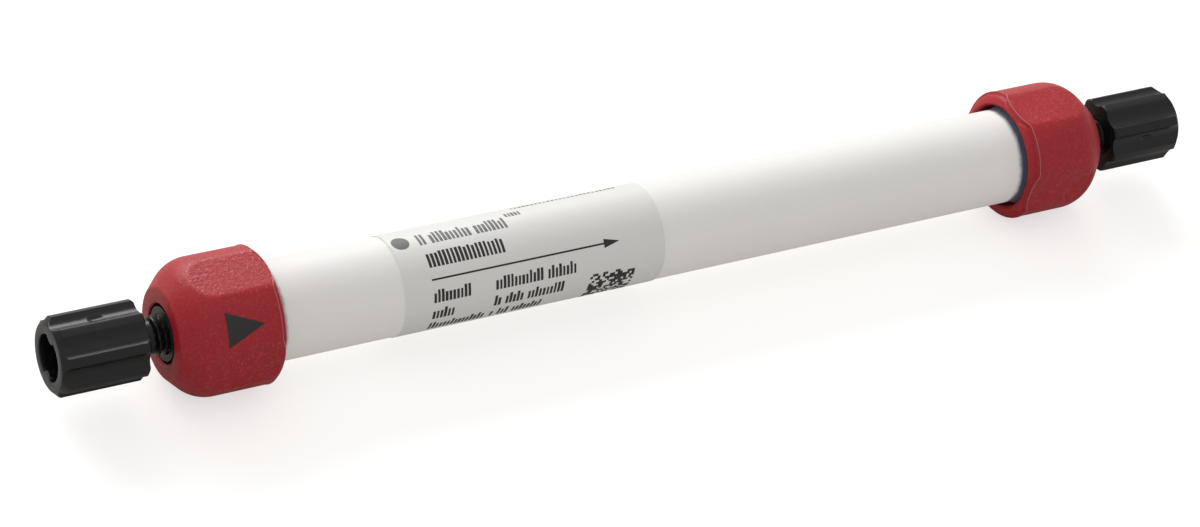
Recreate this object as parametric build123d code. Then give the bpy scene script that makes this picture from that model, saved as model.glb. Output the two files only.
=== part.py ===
from build123d import *
import math
import os

# A prepacked laboratory chromatography column: a plastic tube with a wrap label, closed at
# each end by a moulded screw cap that clamps an end fitting with a sealing plunger, and
# stopped at each port by a fluted finger-tight plug.
#
# Millimetres. X runs along the tube, from the inlet at -X to the outlet at +X, with the
# origin on the axis at mid-length, and +Z is up. Both caps lie on a flat.
# End parts are drawn for the inlet in "depth", which is measured inwards from the outer
# face of the cap. A negative depth is outside the cap.

# --- tube and bed -------------------------------------------------------------------------
bed_length = 100.0            # packed bed, filter to filter
bore_radius = 3.85            # inside of the tube
tube_radius = 6.0             # outside of the tube
filter_thickness = 0.95
slip = 0.01                   # radial gap of a disc or ring that fills the bore

# --- screw caps ---------------------------------------------------------------------------
cap_length = 12.5
cap_side_wall = 1.62          # at the round sections
cap_flat_cut = 0.55           # how far each of the four flats is cut into the round
cap_edge_radius = 0.8         # softening where a flat meets a round section
cap_shoulder_angle = 45.0     # slope of the shoulder, to the axis
cap_shoulder_radius = 4.4     # arc that blends the shoulder into the round sections
cap_shoulder_length = 4.6     # depth at which the shoulder reaches the full radius
cap_lip_radius = 2.2          # arc of the domed lip
cap_lip_rise = 1.0            # lip, from the end of the round sections to the rim
cap_rim_chamfer = 0.3         # inner edge of the lip
cap_wall = 2.6                # end wall, from the outer face to the flange of the end fitting
cap_hole_radius = 3.58        # hole in the end wall
cap_hole_chamfer = 0.15

# --- coupling between cap and tube --------------------------------------------------------
band_length = 5.6             # threaded band on each end of the tube
band_height = 0.42            # above the plain tube
band_lead = 0.6               # sloped runout at the end of the band that faces the label
band_play = 0.16              # band to the bore of the cap
band_setback = 0.8            # end face of the tube to the band

# --- end fittings -------------------------------------------------------------------------
boss_radius = 3.24            # round boss that shows in the hole of the cap
boss_recess = 0.1             # boss face below the outer face of the cap
flange_radius = 5.9
flange_thickness = 2.0
plunger_length = 8.85
plunger_clearance = 0.05      # plunger to the bore of the tube
capillary_radius = 0.4
channel_width = 0.5           # crossed flow channels in the plunger face
channel_depth = 0.25
channel_reach = 3.2
seal_setback = 2.85           # plunger face to the middle of the seal's groove
seal_width = 1.1
seal_height = 1.0             # section of the seal ring, across the gap
seal_play = 0.1               # each side of the seal ring, along the groove

# --- ports and stop plugs -----------------------------------------------------------------
port_radius = 2.45            # bore that the plug's 10-32 thread runs in
port_play = 0.05              # plug thread to port
port_thread_depth = 6.5       # boss face to the start of the port's cone
port_cone_angle = 45.0        # to the axis
seat_gap = 0.08               # plug nose to port cone, along the axis
plug_thread_lead = 0.4        # sloped runout at each end of the thread
plug_neck_radius = 2.05
nose_radius = 1.95
plug_neck_length = 1.35
plug_head_gap = 3.1           # outer face of the cap to the head of the plug
plug_head_length = 10.65
plug_radius = 4.74            # over the lands
plug_root_radius = 4.04       # at the bottom of a flute
plug_flutes = 8
flute_radius = 1.78
flute_edge_radius = 0.15
plug_end_chamfer = 0.7        # along the axis, at the outer end
plug_inner_chamfer = 0.2
plug_recess_inner_radius = 2.6
plug_recess_outer_radius = 3.5
plug_recess_depth = 0.3
socket_radius = 2.8
socket_depth = 7.0
lug_radius = 0.85
lug_tip_radius = 2.0          # axis to the tip of a lug
lug_angle = -19.0             # from the land at the top
nose_tip_radius = 0.5
clear_of_cap = 1.5            # nose of the plug to the cap when the plug is out

# --- label --------------------------------------------------------------------------------
label_start = 28.25           # outer face of the inlet cap to the label
label_width = 35.0            # along the tube
label_thickness = 0.08
label_glue = 0.02
label_seam = 1.2              # gap between the ends of the label, round the tube
label_seam_angle = 215.0      # from the top, round the side that faces away

# --- worked out ---------------------------------------------------------------------------
cap_bore_radius = tube_radius + band_height + band_play
cap_radius = cap_bore_radius + cap_side_wall
plunger_face_x = bed_length / 2 + filter_thickness
tube_end_x = plunger_face_x + plunger_length
flange_depth = cap_wall + flange_thickness
cap_face_x = tube_end_x + flange_depth
plunger_depth = flange_depth + plunger_length
seal_middle_depth = plunger_depth - seal_setback
plunger_radius = bore_radius - plunger_clearance
port_cone_length = (port_radius - capillary_radius) / math.tan(math.radians(port_cone_angle))
port_bottom_depth = boss_recess + port_thread_depth + port_cone_length
plug_thread_radius = port_radius - port_play
nose_length = (nose_radius - nose_tip_radius) / math.tan(math.radians(port_cone_angle))
nose_tip_inset = (nose_tip_radius - capillary_radius) / math.tan(math.radians(port_cone_angle))
nose_tip_depth = port_bottom_depth - nose_tip_inset - seat_gap
nose_start_depth = nose_tip_depth - nose_length
plug_travel = nose_tip_depth + clear_of_cap

# The inlet end is drawn as it lies, and the outlet end is the same, turned about Z.
END_TURN = {"inlet": 0, "outlet": 180}
PLUG_TURN = {"inlet": 11.5, "outlet": -0.5}     # where each plug stopped turning


def turned(points):
    """A solid of revolution about the tube's axis, from (x, radius) points."""
    return revolve(make_face(Polyline(*points, close=True)), axis=Axis.X)


def cylinder(start, end, radius):
    """A plain round bar from x = start to x = end."""
    return extrude(Plane.YZ.offset(start) * Circle(radius), end - start)


def at_end(shape, end):
    """Take a shape drawn in depth to its own end of the column."""
    return Rot(0, 0, END_TURN[end]) * Pos(-cap_face_x, 0, 0) * shape


def make_tube():
    """Plain tube with a raised coupling band on each end."""
    body = cylinder(-tube_end_x, tube_end_x, tube_radius)
    for side in (-1, 1):
        outer = tube_end_x - band_setback
        body += turned([
            (side * outer, tube_radius - slip),
            (side * outer, tube_radius + band_height),
            (side * (outer - band_length + band_lead), tube_radius + band_height),
            (side * (outer - band_length), tube_radius),
            (side * (outer - band_length), tube_radius - slip),
        ])
    return body - cylinder(-tube_end_x, tube_end_x, bore_radius)


def make_cap():
    """Moulded cap: a turned shell with four flats, a sloped shoulder and a domed lip."""
    slope = math.radians(cap_shoulder_angle)
    blend_depth = cap_shoulder_length - cap_shoulder_radius * math.sin(slope)
    blend_radius = cap_radius - cap_shoulder_radius * (1 - math.cos(slope))
    face_radius = blend_radius - blend_depth * math.tan(slope)
    lip_start = cap_length - cap_lip_rise
    rim_radius = cap_bore_radius + cap_rim_chamfer
    outline = [
        Line((0, cap_hole_radius + cap_hole_chamfer), (0, face_radius)),
        Line((0, face_radius), (blend_depth, blend_radius)),
        RadiusArc((blend_depth, blend_radius), (cap_shoulder_length, cap_radius), cap_shoulder_radius),
        Line((cap_shoulder_length, cap_radius), (lip_start, cap_radius)),
        RadiusArc((lip_start, cap_radius), (cap_length, rim_radius), cap_lip_radius),
        Polyline(
            (cap_length, rim_radius),
            (cap_length - cap_rim_chamfer, cap_bore_radius),
            (cap_wall, cap_bore_radius),
            (cap_wall, cap_hole_radius),
            (cap_hole_chamfer, cap_hole_radius),
            (0, cap_hole_radius + cap_hole_chamfer),
        ),
    ]
    shell = revolve(make_face(outline), axis=Axis.X)
    across_flats = 2 * (cap_radius - cap_flat_cut)
    section = Circle(cap_radius) & Rectangle(across_flats, across_flats)
    section = fillet(section.vertices(), cap_edge_radius)
    return shell & extrude(Plane.YZ * section, cap_length)


def make_end_fitting():
    """Boss, flange and plunger in one, with the port, the seal groove and flow channels."""
    groove_half = seal_width / 2 + seal_play
    groove_floor = bore_radius - seal_height - 2 * slip
    port_mouth = boss_recess
    fitting = turned([
        (port_mouth, port_radius),
        (port_mouth, boss_radius),
        (cap_wall, boss_radius),
        (cap_wall, flange_radius),
        (flange_depth, flange_radius),
        (flange_depth, plunger_radius),
        (seal_middle_depth - groove_half, plunger_radius),
        (seal_middle_depth - groove_half, groove_floor),
        (seal_middle_depth + groove_half, groove_floor),
        (seal_middle_depth + groove_half, plunger_radius),
        (plunger_depth, plunger_radius),
        (plunger_depth, capillary_radius),
        (port_bottom_depth, capillary_radius),
        (port_bottom_depth - port_cone_length, port_radius),
    ])
    channel = Box(channel_depth, channel_width, 2 * channel_reach, align=(Align.MAX, Align.CENTER, Align.CENTER))
    for quarter in (0, 90):
        fitting -= Pos(plunger_depth, 0, 0) * Rot(quarter, 0, 0) * channel
    return fitting


def make_seal_ring():
    """Ring that seals the plunger in the bore of the tube."""
    middle_radius = bore_radius - slip - seal_height / 2
    section = Pos(seal_middle_depth, middle_radius) * Rectangle(seal_width, seal_height)
    return revolve(section, axis=Axis.X)


def make_filter():
    """Porous disc between the plunger and the bed."""
    return cylinder(plunger_depth, plunger_depth + filter_thickness, bore_radius - slip)


def make_packed_bed():
    """The packing, held between the two filters."""
    return cylinder(-bed_length / 2, bed_length / 2, bore_radius - slip)


def make_label():
    """Label wrapped round the tube, with its seam at the side that faces away."""
    inner = tube_radius + label_glue
    start = label_start - cap_face_x
    strip = Pos(start, inner) * Rectangle(label_width, label_thickness, align=(Align.MIN, Align.MIN))
    seam = math.degrees(label_seam / inner)
    wrap = revolve(strip, axis=Axis.X, revolution_arc=360 - seam)
    # The strip starts on the +Y side, which is 270 degrees from the top.
    return Rot(label_seam_angle - 270 + seam / 2, 0, 0) * wrap


def make_stop_plug():
    """Fluted finger-tight plug: hollow grip, neck, thread and conical nose in one moulding."""
    outer = -plug_head_gap - plug_head_length
    inner = -plug_head_gap
    grip_outline = Circle(plug_radius)
    flute_centre = plug_root_radius + flute_radius
    grip_outline -= PolarLocations(flute_centre, plug_flutes, 180 / plug_flutes) * Circle(flute_radius)
    grip_outline = fillet(grip_outline.vertices(), flute_edge_radius)
    grip = extrude(Plane.YZ.offset(outer) * grip_outline, plug_head_length)
    grip &= turned([
        (outer, 0),
        (outer, plug_root_radius),
        (outer + plug_end_chamfer, plug_radius + slip),
        (inner - plug_inner_chamfer, plug_radius + slip),
        (inner, plug_radius - plug_inner_chamfer),
        (inner, 0),
    ])
    socket = Circle(socket_radius)
    lug_centre = lug_tip_radius + lug_radius
    socket -= PolarLocations(lug_centre, 2, lug_angle + 90) * Circle(lug_radius)
    grip -= extrude(Plane.YZ.offset(outer) * socket, socket_depth)
    recess = Circle(plug_recess_outer_radius) - Circle(plug_recess_inner_radius)
    grip -= extrude(Plane.YZ.offset(inner) * recess, -plug_recess_depth)
    neck_end = inner + plug_neck_length
    stem = turned([
        (inner, 0),
        (inner, plug_neck_radius),
        (neck_end, plug_neck_radius),
        (neck_end + plug_thread_lead, plug_thread_radius),
        (nose_start_depth - plug_thread_lead, plug_thread_radius),
        (nose_start_depth, nose_radius),
        (nose_tip_depth, nose_tip_radius),
        (nose_tip_depth, 0),
    ])
    return grip + stem


os.makedirs("parts", exist_ok=True)

export_step(make_tube(), "parts/column_tube.step")
export_step(make_packed_bed(), "parts/packed_bed.step")
export_step(make_label(), "parts/label.step")

for end in END_TURN:
    export_step(at_end(make_cap(), end), f"parts/{end}_cap.step")
    export_step(at_end(make_end_fitting(), end), f"parts/{end}_end_fitting.step")
    export_step(at_end(make_seal_ring(), end), f"parts/{end}_seal_ring.step")
    export_step(at_end(make_filter(), end), f"parts/{end}_filter.step")
    plug = Rot(PLUG_TURN[end], 0, 0) * make_stop_plug()
    export_step(at_end(plug, end), f"parts/{end}_stop_plug.step")

print(f"overall length {2 * (cap_face_x + plug_head_gap + plug_head_length):.2f}")
print(f"plug travel {plug_travel:.2f}")
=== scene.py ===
import math

import bmesh
import bpy
from bpy.props import FloatProperty, FloatVectorProperty, IntProperty, PointerProperty
from mathutils import Matrix, Vector


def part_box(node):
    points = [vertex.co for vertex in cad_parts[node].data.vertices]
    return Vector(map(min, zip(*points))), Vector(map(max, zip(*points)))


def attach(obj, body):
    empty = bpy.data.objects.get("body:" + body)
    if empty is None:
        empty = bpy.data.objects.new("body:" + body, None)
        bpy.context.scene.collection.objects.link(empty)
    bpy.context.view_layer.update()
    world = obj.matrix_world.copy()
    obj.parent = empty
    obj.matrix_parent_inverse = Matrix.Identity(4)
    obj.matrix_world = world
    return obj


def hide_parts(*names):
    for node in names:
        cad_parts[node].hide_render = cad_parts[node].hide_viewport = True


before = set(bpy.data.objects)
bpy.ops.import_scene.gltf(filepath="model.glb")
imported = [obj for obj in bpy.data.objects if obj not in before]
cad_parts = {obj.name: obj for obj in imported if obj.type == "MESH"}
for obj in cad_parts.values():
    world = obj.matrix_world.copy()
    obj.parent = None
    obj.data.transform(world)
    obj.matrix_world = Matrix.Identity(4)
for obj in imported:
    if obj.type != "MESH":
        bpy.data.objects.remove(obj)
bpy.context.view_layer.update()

# Dresses a prepacked chromatography column that lies on the flats of its caps.
# Metres. X runs along the tube, inlet at -X. Places along an end are given in "depth",
# measured inwards from the outer face of the cap, so a negative depth is outside it.
# Places round the tube are given by the angle from the top towards -Y.

bl_info = {
    "name": "Chromatography Column",
    "version": (1, 0, 0),
    "blender": (4, 5, 0),
    "location": "3D View > Sidebar > Column",
    "description": "Makes the visible pieces, finishes and stage of a chromatography column",
    "category": "Object",
}

MM = 0.001
COLUMN = "column"
PLUG_BODY = {"inlet": "inlet_plug", "outlet": "outlet_plug"}
END_TURN = {"inlet": 0.0, "outlet": math.pi}

cap_low, cap_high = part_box("inlet_cap")
plug_low, plug_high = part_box("inlet_stop_plug")
label_low, label_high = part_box("label")
CAP_FACE = -cap_low[0]
CAP_LENGTH = cap_high[0] - cap_low[0]
CAP_FLAT = cap_high[2]
TUBE_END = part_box("column_tube")[1][0]
PLUNGER_FACE = -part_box("inlet_end_fitting")[1][0]
PLUG_OUTER_DEPTH = CAP_FACE + plug_low[0]
PLUG_TIP_DEPTH = CAP_FACE + plug_high[0]
LABEL_RADIUS = label_high[2]

# Label film, and the layout of the print on it. A margin is measured along the tube from the
# label's edge beside the inlet, and a top or a line is measured round the tube from its top.
FILM_THICKNESS = 0.08 * MM
TEXT_MARGIN = 3.6 * MM
VALUE_MARGIN = 11.8 * MM
CHARACTER = 0.5 * MM             # width of one character with its gap
ROW_TOP = 6.1 * MM
ROW_PITCH = 2.4 * MM
ROW_HEIGHT = 1.6 * MM
ROW_CHARACTERS = ((10, 22), (6, 19), (15, 15))     # name and value of each row
HEADING_TOP = -1.6 * MM
HEADING_PITCH = 3.1 * MM
HEADING_HEIGHT = 1.9 * MM
HEADING_CHARACTER = 0.54 * MM
ARROW_LINE = 4.85 * MM
ARROW_LENGTH = 25.2 * MM
ARROW_HEAD = 2.1 * MM
ARROW_SHAFT = 0.11 * MM          # half of the width of its shaft
ARROW_SPREAD = 0.55 * MM         # half of the width of its head
SPOT_MARGIN = 1.5 * MM
SPOT_LINE = -0.7 * MM
SPOT_RADIUS = 1.1 * MM
BLOCKS_MARGIN = 24.8 * MM
BLOCKS_TOP = 8.5 * MM
BLOCKS_LENGTH = 6.15 * MM
BLOCKS_HEIGHT = 5.25 * MM
NARROWEST_CHARACTER = 0.72       # as a share of the widest
PRINT_THICKNESS = 0.03 * MM

# Flow mark on the inlet cap.
MARK_DEPTH = 4.8 * MM
MARK_LENGTH = 4.6 * MM
MARK_HALF_WIDTH = 2.1 * MM
MARK_ANGLE = math.radians(50)
MARK_TIP = 0.02 * MM             # half of the width of its tip

# Coupling band on each end of the tube, under the cap.
BAND_INSET = 0.8 * MM            # from the end of the tube
BAND_LENGTH = 5.6 * MM
BAND_RAMP = 0.6 * MM
BAND_ROUND = 0.15 * MM

# Edges of a cap.
FACE_EDGE = 0.12 * MM            # softened edge between end face and shoulder
HOLE_CHAMFER = 0.15 * MM
MOUTH_CHAMFER = 0.3 * MM
GROOVE_WIDTH = 0.5 * MM          # of the groove beside the parting line

# Stop plug, from its open outer end to its tip.
SOCKET_ROUND = 0.12 * MM
END_CHAMFER = 0.7 * MM           # length of the chamfer that the flutes run out through
GRIP_LENGTH = 10.65 * MM
GRIP_EDGE = 0.2 * MM
RECESS_RADIUS = 3.5 * MM         # ring-shaped recess behind the grip
RECESS_CORE = 2.6 * MM
RECESS_DEPTH = 0.3 * MM
NECK_FILLET = 0.2 * MM
NECK_LENGTH = 1.35 * MM
THREAD_FADE = 0.5 * MM           # run-out at each end of the thread
THREAD_ROWS = 12                 # rows of points to one turn
CREST_SHARE = 0.35               # how flat the crests are
NOSE_LENGTH = 1.45 * MM
NOSE_RADIUS = 1.95 * MM
TIP_RADIUS = 0.5 * MM
FLUTE_SOFTNESS = 0.15 * MM       # blend where a flute or a lug meets the round
SOCKET_LUGS = 2
LUG_TURN = math.radians(-19)
PLUG_TURN = {"inlet": math.radians(11.5), "outlet": math.radians(-0.5)}

# Mark that the moulding gate left on the side of each stop plug.
GATE_PLACE = {"inlet": (-8.2 * MM, math.radians(-22.5)), "outlet": (-8.35 * MM, math.radians(-67.5))}
GATE_SIZE = 1.0 * MM             # half of its length along the plug
GATE_ROUNDNESS = 0.6             # half of its width, as a share of that
GATE_DEPTH = 0.15 * MM
GATE_RIM_HEIGHT = 0.04 * MM
GATE_RIM_PLACE = 1.05            # where the rim stands, 1 being the edge of the mark
GATE_RIM_STEEPNESS = 5.0

FLOOR_REACH = 3.0                # from the middle of the floor to each edge, in metres


# --- settings -----------------------------------------------------------------------------

class ColumnTubeSettings(bpy.types.PropertyGroup):
    radius: FloatProperty(name="Radius", description="Outside of the tube", default=6.0 * MM,
                          unit="LENGTH")
    bore: FloatProperty(name="Bore radius", description="Inside of the tube", default=3.85 * MM,
                        unit="LENGTH")
    band_radius: FloatProperty(name="Band radius", description="Coupling band under each cap",
                               default=6.42 * MM, unit="LENGTH")
    colour: FloatVectorProperty(name="Colour", description="Milky polypropylene", subtype="COLOR",
                                default=(0.67, 0.665, 0.66), min=0, max=1)


class ColumnCapSettings(bpy.types.PropertyGroup):
    radius: FloatProperty(name="Radius", description="Over the round sections", default=8.2 * MM,
                          unit="LENGTH")
    hole: FloatProperty(name="Hole radius", description="Hole in the end wall", default=3.58 * MM,
                        unit="LENGTH")
    bore: FloatProperty(name="Bore radius", description="Clearance round the tube", default=6.58 * MM,
                        unit="LENGTH")
    wall: FloatProperty(name="End wall", description="Thickness of the end wall", default=2.6 * MM,
                        unit="LENGTH")
    shoulder_angle: FloatProperty(name="Shoulder slope", description="Slope of the shoulder, to the axis",
                                  default=math.radians(45), subtype="ANGLE")
    shoulder_radius: FloatProperty(name="Shoulder blend", description="Arc between shoulder and side",
                                   default=4.4 * MM, unit="LENGTH")
    shoulder_length: FloatProperty(name="Shoulder length", description="Depth where the full radius starts",
                                   default=4.6 * MM, unit="LENGTH")
    lip_rise: FloatProperty(name="Lip rise", description="Length of the domed lip", default=1.0 * MM,
                            unit="LENGTH")
    lip_radius: FloatProperty(name="Lip arc", description="Arc of the domed lip", default=2.2 * MM,
                              unit="LENGTH")
    edge_softness: FloatProperty(name="Edge softness", description="Blend where a flat meets a round section",
                                 default=0.2 * MM, unit="LENGTH")
    flash: FloatProperty(name="Parting line", description="Radius of the fine raised parting line",
                         default=0.06 * MM, unit="LENGTH")
    groove: FloatProperty(name="Groove", description="Depth of the groove beside the parting line",
                          default=0.2 * MM, unit="LENGTH")
    line_colour: FloatVectorProperty(name="Line colour", description="Paler red of the thin parting line",
                                     subtype="COLOR", default=(0.55, 0.13, 0.14), min=0, max=1)
    colour: FloatVectorProperty(name="Colour", description="Red polypropylene", subtype="COLOR",
                                default=(0.42, 0.012, 0.020), min=0, max=1)


class ColumnFittingSettings(bpy.types.PropertyGroup):
    colour: FloatVectorProperty(name="Colour", description="Black fitting", subtype="COLOR",
                                default=(0.022, 0.022, 0.023), min=0, max=1)


class ColumnPlugSettings(bpy.types.PropertyGroup):
    radius: FloatProperty(name="Grip radius", description="Over the lands", default=4.74 * MM,
                          unit="LENGTH")
    root: FloatProperty(name="Flute root", description="Axis to the bottom of a flute", default=4.04 * MM,
                        unit="LENGTH")
    flutes: IntProperty(name="Flutes", description="Number of flutes", default=8, min=3)
    flute_radius: FloatProperty(name="Flute radius", description="Hollow of a flute", default=1.78 * MM,
                                unit="LENGTH")
    socket: FloatProperty(name="Socket radius", description="Open outer end", default=2.8 * MM,
                          unit="LENGTH")
    socket_depth: FloatProperty(name="Socket depth", description="Depth of the open outer end",
                                default=7.0 * MM, unit="LENGTH")
    lug_radius: FloatProperty(name="Lug radius", description="Round of a lug in the socket",
                              default=0.85 * MM, unit="LENGTH")
    lug_tip: FloatProperty(name="Lug tip", description="Axis to the tip of a lug", default=2.0 * MM,
                           unit="LENGTH")
    pitch: FloatProperty(name="Thread pitch", description="Rise of one turn", default=0.794 * MM,
                         unit="LENGTH")
    thread: FloatProperty(name="Thread radius", description="Over the crests", default=2.4 * MM,
                          unit="LENGTH")
    thread_root: FloatProperty(name="Thread root", description="Axis to the thread root", default=1.93 * MM,
                               unit="LENGTH")
    neck: FloatProperty(name="Neck radius", description="Neck between grip and thread", default=2.05 * MM,
                        unit="LENGTH")
    colour: FloatVectorProperty(name="Colour", description="Black plug", subtype="COLOR",
                                default=(0.006, 0.006, 0.0058), min=0, max=1)


class ColumnLabelSettings(bpy.types.PropertyGroup):
    seam: FloatProperty(name="Seam", description="Gap between the ends of the label", default=1.2 * MM,
                        unit="LENGTH")
    seam_angle: FloatProperty(name="Seam angle", description="Middle of the seam, from the top towards -Y",
                              default=math.radians(215), subtype="ANGLE")
    film: FloatVectorProperty(name="Film", description="Silver-grey film", subtype="COLOR",
                              default=(0.67, 0.66, 0.635), min=0, max=1)
    ink: FloatVectorProperty(name="Ink", description="Black print", subtype="COLOR",
                             default=(0.018, 0.016, 0.015), min=0, max=1)
    pale_ink: FloatVectorProperty(name="Pale ink", description="Grey print of the heading",
                                  subtype="COLOR", default=(0.13, 0.13, 0.135), min=0, max=1)


class ColumnStageSettings(bpy.types.PropertyGroup):
    lens: FloatProperty(name="Lens", description="Focal length in millimetres", default=113.035)
    camera_place: FloatVectorProperty(name="Camera", description="Place of the camera", subtype="TRANSLATION",
                                      unit="LENGTH", default=(-0.2181715, -0.2671062, 0.3026244))
    camera_forward: FloatVectorProperty(name="View direction", description="Where the camera looks",
                                        subtype="DIRECTION", default=(0.462938, 0.582078, -0.668486))
    camera_up: FloatVectorProperty(name="Up", description="Top of the view", subtype="DIRECTION",
                                   default=(0.187468, 0.672811, 0.715669))
    key_power: FloatProperty(name="Back light", description="Soft light from behind", default=7.0,
                             unit="POWER")
    front_power: FloatProperty(name="Top light", description="Soft light from above", default=1.0,
                               unit="POWER")
    ambient: FloatProperty(name="Ambient", description="Strength of the even light all round", default=0.54)
    floor_tone: FloatVectorProperty(name="Floor tone", description="What the floor throws back",
                                    subtype="COLOR", default=(0.62, 0.60, 0.57), min=0, max=1)


# --- meshes -------------------------------------------------------------------------------

POLE = 1e-9                      # a smaller radius than this is a point on the axis
SHARP_EDGE = math.radians(35)    # an edge that turns by more than this isn't smoothed


def refined(outline, step):
    """The same outline with points added so that no straight run is longer than step."""
    points = [outline[0]]
    for start, end in zip(outline, outline[1:]):
        count = max(1, math.ceil(math.dist(start, end) / step))
        for i in range(1, count + 1):
            share = i / count
            points.append(tuple(a + (b - a) * share for a, b in zip(start, end)))
    return points


def rounded(outline, rounds, count):
    """Replaces the corners named in rounds ({index: radius}) by arcs of count runs."""
    points = []
    for i, corner in enumerate(outline):
        if i not in rounds:
            points.append(corner)
            continue
        here = Vector(corner)
        back = (Vector(outline[i - 1]) - here).normalized()
        on = (Vector(outline[(i + 1) % len(outline)]) - here).normalized()
        half = back.angle(on) / 2
        centre = here + (back + on).normalized() * rounds[i] / math.sin(half)
        first = here + back * rounds[i] / math.tan(half) - centre
        last = here + on * rounds[i] / math.tan(half) - centre
        for k in range(count + 1):
            share = k / count
            points.append(tuple(centre + (first.lerp(last, share)).normalized() * rounds[i]))
    return points


def arc_through(start, end, radius, count):
    """Points on the arc from start to end that bulges away from the axis, without start, and its
    centre."""
    a, b = Vector(start), Vector(end)
    middle = (a + b) / 2
    half = (b - a).length / 2
    normal = Vector((b.y - a.y, a.x - b.x)).normalized()
    if normal.y > 0:
        normal = -normal
    centre = middle + normal * math.sqrt(radius**2 - half**2)
    points = []
    for i in range(1, count + 1):
        ray = (a - centre).lerp(b - centre, i / count).normalized()
        points.append(tuple(centre + ray * radius))
    return points, centre


def turned_mesh(name, outline, segments, marks=None):
    """A turned mesh about X from (x, radius) points. A radius of 0 closes it at a pole.
    An outline that doesn't start at a pole is joined end to start. marks are float
    attributes, one value for each point of the outline."""
    mesh_points, rings, values = [], [], {key: [] for key in marks or {}}
    for i, (x, radius) in enumerate(outline):
        count = 1 if radius < POLE else segments
        rings.append([len(mesh_points) + k % count for k in range(segments)])
        for k in range(count):
            angle = 2 * math.pi * k / segments
            mesh_points.append((x, -radius * math.sin(angle), radius * math.cos(angle)))
            for key in values:
                values[key].append(marks[key][i])
    pairs = list(zip(rings, rings[1:]))
    if outline[0][1] > POLE:
        pairs.append((rings[-1], rings[0]))
    faces = []
    for near, far in pairs:
        for k in range(segments):
            n = (k + 1) % segments
            corners = [near[k], near[n], far[n], far[k]]
            face = [c for j, c in enumerate(corners) if c != corners[j - 1]]
            if len(face) > 2:
                faces.append(face)
    mesh = bpy.data.meshes.new(name)
    mesh.from_pydata(mesh_points, [], faces)
    for key, numbers in values.items():
        layer = mesh.attributes.new(key, "FLOAT", "POINT")
        layer.data.foreach_set("value", numbers)
    facing_out(mesh)
    return mesh


def facing_out(mesh):
    """Turns every face of a closed mesh outwards."""
    work = bmesh.new()
    work.from_mesh(mesh)
    bmesh.ops.recalc_face_normals(work, faces=work.faces)
    work.to_mesh(mesh)
    work.free()


def finish_piece(mesh, name, body, nodes=()):
    """Makes the mesh a piece of the column, smooth but for its sharp edges."""
    mesh.shade_smooth()
    mesh.set_sharp_from_angle(angle=SHARP_EDGE)
    piece = bpy.data.objects.new(name, mesh)
    bpy.context.scene.collection.objects.link(piece)
    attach(piece, body)
    if nodes:
        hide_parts(*nodes)
    return piece


def patch_mesh(name, stations, radius, thickness, rows=6):
    """A thin closed patch wrapped on a cylinder, from (x, start, end) stations measured round it."""
    points, faces = [], []
    for level in (radius - thickness / 2, radius + thickness / 2):
        for x, start, end in stations:
            for k in range(rows + 1):
                angle = (start + (end - start) * k / rows) / radius
                points.append((x, -level * math.sin(angle), level * math.cos(angle)))
    width, layer = rows + 1, len(stations) * (rows + 1)
    for i in range(len(stations) - 1):
        for k in range(rows):
            a = i * width + k
            quad = [a, a + 1, a + width + 1, a + width]
            faces.append(quad)
            faces.append([c + layer for c in reversed(quad)])
    ring = list(range(width))
    ring += [i * width + rows for i in range(1, len(stations))]
    ring += [(len(stations) - 1) * width + k for k in range(rows - 1, -1, -1)]
    ring += [i * width for i in range(len(stations) - 2, 0, -1)]
    for a, b in zip(ring, ring[1:] + ring[:1]):
        faces.append([a, b, b + layer, a + layer])
    mesh = bpy.data.meshes.new(name)
    mesh.from_pydata(points, [], faces)
    facing_out(mesh)
    return mesh


def end_place(end):
    """Takes a mesh drawn in depth to its own end of the column."""
    return Matrix.Rotation(END_TURN[end], 4, "Z") @ Matrix.Translation((-CAP_FACE, 0, 0))


# --- node trees ---------------------------------------------------------------------------

class Value:
    """What a node puts out. Sums written with it add the math nodes that work them out."""

    def __init__(self, socket):
        self.socket = socket
        self.tree = socket.id_data

    def __add__(self, other):
        return calc("ADD", self, other)

    def __sub__(self, other):
        return calc("SUBTRACT", self, other)

    def __rsub__(self, other):
        return calc("SUBTRACT", other, self)

    def __mul__(self, other):
        return calc("MULTIPLY", self, other)

    def __truediv__(self, other):
        return calc("DIVIDE", self, other)

    def __rtruediv__(self, other):
        return calc("DIVIDE", other, self)

    def __pow__(self, power):
        return calc("POWER", self, power)

    def __neg__(self):
        return calc("MULTIPLY", self, -1.0)

    def __abs__(self):
        return calc("ABSOLUTE", self)


def plug_in(socket, value):
    """Links a socket to a value, or sets it to a number, a colour or the like."""
    if isinstance(value, Value):
        socket.id_data.links.new(value.socket, socket)
    else:
        socket.default_value = value


def calc(operation, *terms):
    """The result of one math node. At least one of its terms is a Value."""
    tree = next(term.tree for term in terms if isinstance(term, Value))
    node = tree.nodes.new("ShaderNodeMath")
    node.operation = operation
    for socket, term in zip(node.inputs, terms):
        plug_in(socket, term)
    return Value(node.outputs[0])


def add(tree, kind, options=None, out=0, **inputs):
    """Adds a node with its options and its inputs, named with _ for a space, and gives one output."""
    node = tree.nodes.new(kind)
    for key, value in (options or {}).items():
        setattr(node, key, value)
    for key, value in inputs.items():
        plug_in(node.inputs[key.replace("_", " ")], value)
    return Value(node.outputs[out])


def outputs_of(node):
    """All that a node puts out, by name."""
    return {socket.name: Value(socket) for socket in node.outputs}


def split(vector):
    """The X, Y and Z of a vector."""
    parts = outputs_of(add(vector.tree, "ShaderNodeSeparateXYZ", Vector=vector).socket.node)
    return parts["X"], parts["Y"], parts["Z"]


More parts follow.
